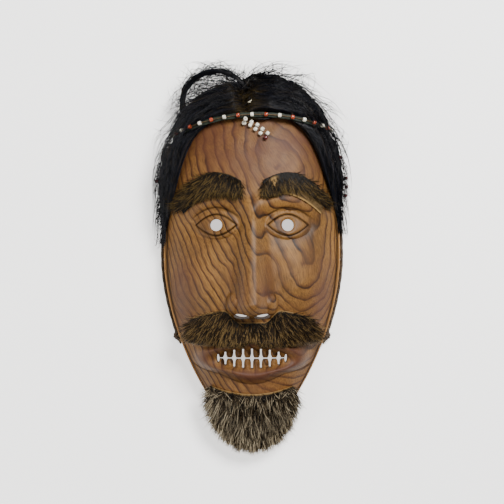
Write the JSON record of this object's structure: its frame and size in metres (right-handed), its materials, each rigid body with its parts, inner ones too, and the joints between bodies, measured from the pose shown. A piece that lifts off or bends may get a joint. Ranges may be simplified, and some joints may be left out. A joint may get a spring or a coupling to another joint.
{
  "type": "dance mask",
  "caption": "Carved wooden human face mask, hollow behind, with peg teeth, black hair, beaded headband and pelt brows, moustache and goatee.",
  "frame": {"origin": "centre of the bounding box, in the plane of the flat rear rim on which the mask lies", "axes": "+Z out of the face, +Y to the top of the head, +X to the viewer's right"},
  "size_m": [0.167, 0.33, 0.0754],
  "materials": {
    "oiled_wood": "oiled, semi-gloss, stained",
    "black_hair": "long black hair",
    "pelt": "short brown pelt",
    "band_hide": "dark thin hide",
    "thong_hide": "dark worn thong",
    "white_bead": "opaque glass",
    "coral_bead": "opaque glass",
    "dark_red_bead": "opaque glass"
  },
  "bodies": {
    "root": {"mask_body": "oiled_wood", "hair": "black_hair", "headband": "band_hide", "brow_fur_left": "pelt", "brow_fur_right": "pelt", "moustache_fur": "pelt", "goatee_fur": "pelt", "rim_cord_left": "thong_hide", "rim_cord_right": "thong_hide", "headband_bead_01": "white_bead", "headband_bead_02": "coral_bead", "headband_bead_03": "white_bead", "headband_bead_04": "coral_bead", "headband_bead_05": "white_bead", "headband_bead_06": "coral_bead", "headband_bead_07": "white_bead", "headband_bead_08": "coral_bead", "headband_bead_09": "white_bead", "headband_bead_10": "coral_bead", "headband_bead_11": "white_bead", "headband_bead_12": "coral_bead", "headband_bead_13": "white_bead", "headband_bead_14": "coral_bead", "headband_bead_15": "white_bead", "headband_bead_16": "coral_bead", "headband_bead_17": "white_bead", "pendant_bead_01": "white_bead", "pendant_bead_02": "white_bead", "pendant_bead_03": "white_bead", "pendant_bead_04": "white_bead", "pendant_bead_05": "white_bead", "pendant_bead_06": "white_bead", "pendant_bead_07": "white_bead", "pendant_bead_08": "white_bead", "pendant_bead_09": "white_bead", "pendant_bead_10": "dark_red_bead", "side_bead_left_1": "dark_red_bead", "side_bead_left_2": "dark_red_bead", "side_bead_right_1": "dark_red_bead", "side_bead_right_2": "dark_red_bead", "side_bead_right_3": "dark_red_bead", "side_bead_right_4": "dark_red_bead"}
  },
  "joints": []
}
